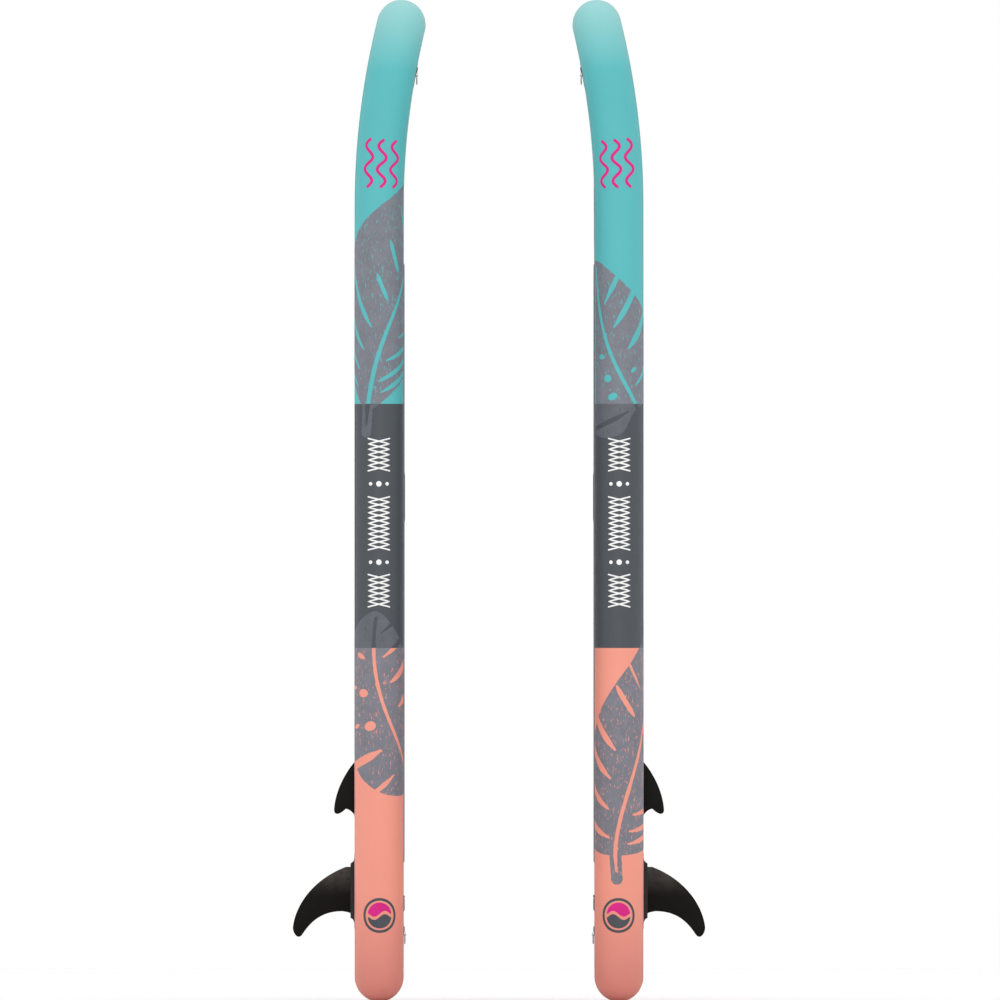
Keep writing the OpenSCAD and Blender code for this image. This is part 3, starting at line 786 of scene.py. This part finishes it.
def block(low, high, corner):
    """A box with chamfered edges."""
    low, high = np.asarray(low, float), np.asarray(high, float)
    rings = []
    for z, inset in ((low[2], corner), (low[2] + corner, 0), (high[2] - corner, 0), (high[2], corner)):
        a, b = low[:2] + inset, high[:2] - inset
        c = corner
        ring = [(a[0] + c, a[1]), (b[0] - c, a[1]), (b[0], a[1] + c), (b[0], b[1] - c),
                (b[0] - c, b[1]), (a[0] + c, b[1]), (a[0], b[1] - c), (a[0], a[1] + c)]
        rings.append([(x, y, z) for x, y in ring])
    return loft(rings)


FIN_TOP, FIN_LOW = 416, 272                # heights of the ends of the centre fin's root
FIN_ROOT = 14.4                            # depth of the root below the bottom
FOOT_DEPTH = 5.4                           # and of the foot under it, inside the box
SCREW = 424                                # height of the fin screw
SIDE_FIN_Y = 195


def fins():
    """The centre fin and the side fins. Their outlines are given as (depth below the bottom, z)."""
    t = np.linspace(0, 1, 24)
    tip = bezier([(192.5, 228), (193, 211), (178, 188), (164, 205)], t)
    lead = np.vstack([[(FIN_ROOT, FIN_TOP)],
                      bezier([(28, 416), (124, 380), (183, 304), (192.5, 230)], t), tip[1:13]])
    trail = np.vstack([[(FIN_ROOT, FIN_LOW), (20, 275)],
                       bezier([(39, 278.5), (100, 278), (134, 251), (163.5, 206)], t), tip[:11:-1]])
    foot = block((-R - FIN_ROOT - 0.4, -4.6, FIN_LOW), (-R - FOOT_DEPTH, 4.6, FIN_TOP), 0.6)
    outline = rounded((0, SCREW - 0.5), 9.2, 15.6, 1)
    tab = layer(triangulate([outline], [circle((0, SCREW), 2.8, 24)], outline, 0), on_bottom,
                FOOT_DEPTH, 9)
    make("raked_fin", joined(foil(lead, trail, 0, 7.6), foot, tab), [FIN], ["centre_fin"],
         "centre_fin")
    tip = bezier([(64.3, 592), (63, 578), (50, 576), (29, 596)], t)
    lead = np.vstack([bezier([(1.2, 741), (34, 703), (61, 648), (64.3, 594)], t), tip[1:13]])
    trail = np.vstack([bezier([(1.2, 578), (8, 588), (18, 596), (28, 597)], t), tip[:11:-1]])
    make("side_fin_pair", joined(*(foil(lead, trail, side * SIDE_FIN_Y, 6) for side in (-1, 1))),
         [SIDE_FIN], ["side_fins"])
    feet = [plate(lambda inset: rounded((side * SIDE_FIN_Y, 661.5), width - 2 * inset,
                                        length - 2 * inset, corner - inset), on_bottom, 0, thick)
            for side in (-1, 1) for width, length, corner, thick in ((64, 209, 26, 0.7),
                                                                     (30, 184, 14, 1.2))]
    make("side_fin_feet", joined(*feet), [BLACK], ["side_fin_bases"])


# ---- Deck fittings
def plate(loop, mapper, low, high, bevel=1.2):
    """A plate with bevelled edges. loop(inset) draws its outline drawn in by the inset."""
    outer, inner = loop(0), loop(bevel)
    drawing = triangulate([outer], [], outer + (outer - outer.mean(0)) * 0.001, 0,
                          [np.vstack([inner, inner[:1]])])
    middle = inner.mean(0)
    flat = within(drawing[0], middle + (inner - middle) * 1.002)
    return layer(drawing, mapper, low, np.where(flat, high, low + 0.4 * (high - low)))


PAD_GROOVE = 26                            # spacing of the pad's grooves
PAD_T = pad_high.x - pad_low.x             # its thickness
PAD_TAPER = 34                             # length of its tapered nose end
HANDLE = 1560                              # height of the middle of the carry handle
WINDOW = (86, 330)                         # opening in the pad round it


def pad_outline(inset):
    z = np.linspace(pad_low.z + inset, pad_high.z - PAD_TAPER, 60)
    half = width_at(z) - 32 - inset
    side = np.vstack([np.stack([half, z], 1), [(half[-1] - 60, pad_high.z - inset)]])
    return np.vstack([side, side[::-1] * (-1, 1)])


def pad():
    """The grooved foam pad, with a window for the handle."""
    def round_handle(room, corner):
        return rounded((0, HANDLE), WINDOW[0] + room, WINDOW[1] + room, corner)
    outer, inner = pad_outline(0), pad_outline(3)
    window, rim = round_handle(0, 20), round_handle(6, 23)
    room, guard = pad_outline(12), round_handle(22, 30)
    lines = [np.vstack([inner, inner[:1]]), np.vstack([rim, rim[:1]])]
    heights = np.arange(pad_low.z + 8, pad_high.z, 22)
    sunk = set()
    for k in range(-12, 13):
        y = k * PAD_GROOVE
        here = np.stack([np.full(len(heights), float(y)), heights], 1)
        free = within(here, room) & ~within(here, guard)
        for start in np.flatnonzero(free & ~np.roll(free, 1)):
            stop = start
            while stop < len(free) and free[stop]:
                stop += 1
            if stop - start > 3:
                lines += [here[start:stop] + (aside, 0) for aside in (-1.6, 0, 1.6)]
                sunk.update(map(tuple, here[start + 1:stop - 1].round(1).tolist()))
    drawing = triangulate([outer], [window], outer * 1.0001, 0, lines)
    points = drawing[0]
    groove = np.array([tuple(p) in sunk for p in points.round(1).tolist()])
    flat = within(points, pad_outline(0.5)) & ~within(points, window + (window - (0, HANDLE)) * 0.002)
    top = np.where(groove, PAD_T - 1.3, np.where(flat, PAD_T, PAD_T * 0.45))
    for piece in make("foam_deck_pad", layer(drawing, on_deck, 0, top), [FOAM],
                      ["deck_pad"], sharp=25):
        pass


def strap(path, width, thickness):
    """Flat webbing along a path of (height above the deck, z), with rounded edges."""
    p = np.asarray(path, float)
    way = np.gradient(p, axis=0)
    way /= np.linalg.norm(way, axis=1)[:, None]
    aside = np.stack([way[:, 1], -way[:, 0]], 1)
    half, t = width / 2, thickness / 2
    upper = [(half, t * 0.4), (half - t, t)] + [(k * half / 3, t) for k in (2, 1, 0, -1, -2)] \
        + [(-half + t, t), (-half, t * 0.4)]
    section = [(across, -up) for across, up in upper[::-1]] + upper
    rings = []
    for (h, z), (ah, az) in zip(p, aside):
        spots = np.array([(across, z + up * az, h + up * ah) for across, up in section])
        rings.append(on_deck(spots[:, :2], spots[:, 2]))
    return loft(rings)


def stitches(lines, height, length=3.2, gap=1.1, radius=0.38):
    """Rows of sewn stitches lying on the deck side, at a height above the deck."""
    solids = []
    for start, end in lines:
        start, end = np.asarray(start, float), np.asarray(end, float)
        run = np.linalg.norm(end - start)
        way = (end - start) / run
        aside = np.array([-way[1], way[0]])
        for k in range(int(run // (length + gap)) + 1):
            rings = []
            for share, size in ((0, 0.35), (0.2, 1), (0.8, 1), (1, 0.35)):
                middle = start + way * (k * (length + gap) + share * length)
                arch = np.linspace(0, math.pi, 6)
                spots = middle + np.cos(arch)[:, None] * aside * radius * size
                rings.append(on_deck(spots, height - 0.2 + (0.2 + radius * size) * np.sin(arch)))
            solids.append(loft(rings))
    return joined(*solids)


def box_cross(middle, width, length):
    """The lines of a sewn box with a cross in it."""
    y, z = middle
    corners = [(y + sy * width / 2, z + sz * length / 2)
               for sy, sz in ((-1, -1), (1, -1), (1, 1), (-1, 1))]
    return list(zip(corners, corners[1:] + corners[:1])) + [(corners[0], corners[2]),
                                                             (corners[1], corners[3])]


def handle():
    """The carry handle: a strap sewn to two patches."""
    patches = [plate(lambda inset: rounded((0, HANDLE + side * 113), 66 - 2 * inset, 62 - 2 * inset,
                                           12 - inset), on_deck, 0, 1) for side in (-1, 1)]
    make("handle_pads", joined(*patches), [PATCH], ["handle_patches"])
    z = np.linspace(-135, 135, 91)
    down = np.clip((np.abs(z) - 65) / 22, 0, 1)
    rise = 1.8 + 2.2 * (1 - down ** 2 * (3 - 2 * down))
    make("carry_strap", strap(np.stack([rise, HANDLE + z], 1), 38, 1.5), [WEBBING],
         ["carry_handle"])
    sewn = [line for side in (-1, 1) for line in box_cross((0, HANDLE + side * 111), 29, 38)]
    make("strap_stitches", stitches(sewn, 2.55), [STITCH])


LEASH, TOW = 205, 2880                     # heights of the two rings' bars
BAR = 4.7                                  # height of a bar above its patch's plane
WRAP = 3.1                                 # radius of a loop round its bar


def ring_patches():
    """The round patches of the two rings, each with the webbing loop that holds its ring."""
    for name, z, low, plane in (("leash", LEASH, 0.05, 0.05), ("tow", TOW, 0.1, 0.6)):
        discs = [plate(lambda inset: circle((0, z), radius - inset, 56), on_deck, low, plane + thick)
                 for radius, thick in ((42, 0.55), (38.5, 1.0))]
        turns = np.linspace(-math.pi / 2, -math.pi * 3 / 2, 19)[1:-1]
        wrap = [(BAR + WRAP * math.sin(t), WRAP * min(math.cos(t), 0)) for t in turns]
        path = [(1.6, 26 - 2 * k) for k in range(13)] + wrap + \
               [(BAR + WRAP, 0), (7.3, 2.2), (6.2, 4.4), (4.9, 6.8), (3.8, 9.2), (3.1, 12), (3.0, 15),
                (3.0, 19), (3.0, 23), (3.0, 26)]
        loop = strap([(plane + h, z + along) for h, along in path], 22, 1.2)
        sewn = stitches(box_cross((0, z + 19), 16, 10), plane + 3.55)
        make(f"{name}_loop_patch", joined(*discs), [PATCH], [f"{name}_patch"])
        make(f"{name}_loop", loop, [WEBBING])
        make(f"{name}_stitches", sewn, [STITCH])


# ---- Parts that keep their CAD shape
def soften(piece, width):
    """Rounds the edges of a CAD part as moulding does."""
    weld = piece.modifiers.new("weld", "WELD")
    weld.merge_threshold = 0.002 * MM
    bevel = piece.modifiers.new("bevel", "BEVEL")
    bevel.width = width * MM
    bevel.segments = 2
    bevel.limit_method = "ANGLE"
    bevel.angle_limit = math.radians(40)
    bevel.harden_normals = True


def carried_over():
    """Gives the CAD parts that are seen as they are their materials."""
    finishes = {"valve_body": BLACK, "valve_nut": BLACK, "valve_plunger": PALE_PLASTIC,
                "valve_seal": RUBBER, "valve_spring": STEEL, "valve_cap": CAP, "leash_ring": STEEL,
                "tow_ring": STEEL, "fin_box": BLACK, "fin_nut": BRASS, "fin_screw": BRASS,
                "drop_stitch": THREADS}
    for board in BOARDS:
        for node, material in finishes.items():
            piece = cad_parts[f"{board}_{node}"]
            for place in piece.material_slots:
                place.material = material
            if node in ("fin_box", "valve_body", "valve_cap", "valve_nut", "fin_nut"):
                soften(piece, 1.0 if node == "fin_box" else 0.3)


# ---- Camera, light and floor
def studio():
    scene = bpy.context.scene
    frame_height = 3.0923                    # height of the picture at the boards
    middle = 1.552                           # height of its middle
    camera_data = bpy.data.cameras.new("camera")
    camera_data.lens = 1500                  # a far camera, for a picture nearly without perspective
    camera_data.sensor_width = 36
    away = frame_height * camera_data.lens / camera_data.sensor_width
    camera_data.clip_start = 1
    camera_data.clip_end = 2 * away
    camera = bpy.data.objects.new("camera", camera_data)
    scene.collection.objects.link(camera)
    camera.location = (0.003, -away - 0.2, middle)
    camera.rotation_euler = (math.pi / 2, 0, 0)
    scene.camera = camera
    scene.view_settings.view_transform = "Standard"
    world = bpy.data.worlds.new("studio")
    scene.world = world
    world.use_nodes = True
    world.node_tree.nodes["Background"].inputs["Color"].default_value = (1, 1, 1, 1)
    for name, place, size, power in (("front_softbox", (0, -14, 1.5), 8, 400),
                                     ("top_softbox", (0, 0, 9), 8, 90)):
        light_data = bpy.data.lights.new(name, "AREA")
        light_data.size = size
        light_data.energy = power
        light = bpy.data.objects.new(name, light_data)
        scene.collection.objects.link(light)
        light.location = place
        light.rotation_euler = (Vector((0, 0, 1.5)) - Vector(place)).to_track_quat("-Z", "Y").to_euler()
    m = Nodes("studio_floor", 0.7, 0.1)
    m.colour(m.mix(m.noise(0.6, 2), (0.95, 0.95, 0.95, 1), (0.97, 0.97, 0.97, 1)))
    mesh = bpy.data.meshes.new("floor")
    reach = 9
    mesh.from_pydata([(-reach, -reach, 0), (reach, -reach, 0), (reach, reach, 0), (-reach, reach, 0)],
                     [], [(0, 1, 2, 3)])
    mesh.materials.append(m.material)
    floor = bpy.data.objects.new("floor", mesh)
    scene.collection.objects.link(floor)


studio()
hull()
prints()
fins()
pad()
handle()
ring_patches()
carried_over()
